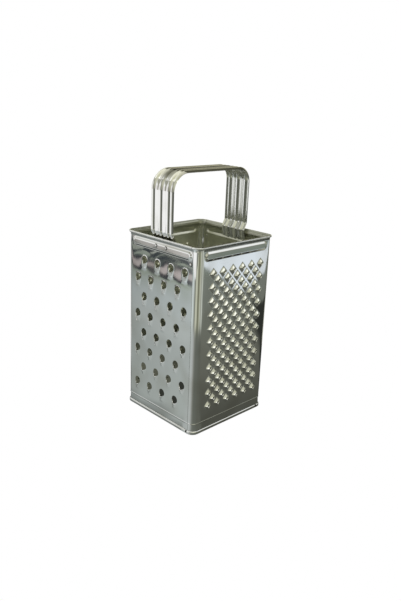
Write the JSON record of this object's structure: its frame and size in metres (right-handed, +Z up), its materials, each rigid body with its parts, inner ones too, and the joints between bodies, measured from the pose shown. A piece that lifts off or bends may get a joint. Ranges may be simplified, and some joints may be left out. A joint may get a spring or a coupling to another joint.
{
  "type": "box grater",
  "caption": "Upright open-ended box grater of bright sheet metal: walls with lipped holes, pierced teeth, fine burrs and slicing slots, a rolled rim, a hemmed foot and a fluted strap handle.",
  "frame": {"origin": "centre of the square foot, on the surface that the grater stands on", "axes": "+Z up; -Y out of the coarse wall, +X out of the medium wall, +Y out of the slicing wall, -X out of the fine wall; the handle bar runs along Y"},
  "size_m": [0.0949, 0.0956, 0.229],
  "materials": {
    "panel_steel": "bright rolled sheet",
    "handle_steel": "polished strip",
    "rivet_steel": "bright, flat-headed"
  },
  "bodies": {
    "root": {"coarse_panel": "panel_steel", "medium_panel": "panel_steel", "slicing_panel": "panel_steel", "fine_panel": "panel_steel", "strap_handle": "handle_steel", "front_handle_rivet_left": "rivet_steel", "back_handle_rivet_left": "rivet_steel", "front_handle_rivet_right": "rivet_steel", "back_handle_rivet_right": "rivet_steel", "front_seam_rivet": "rivet_steel", "back_seam_rivet": "rivet_steel"}
  },
  "joints": []
}
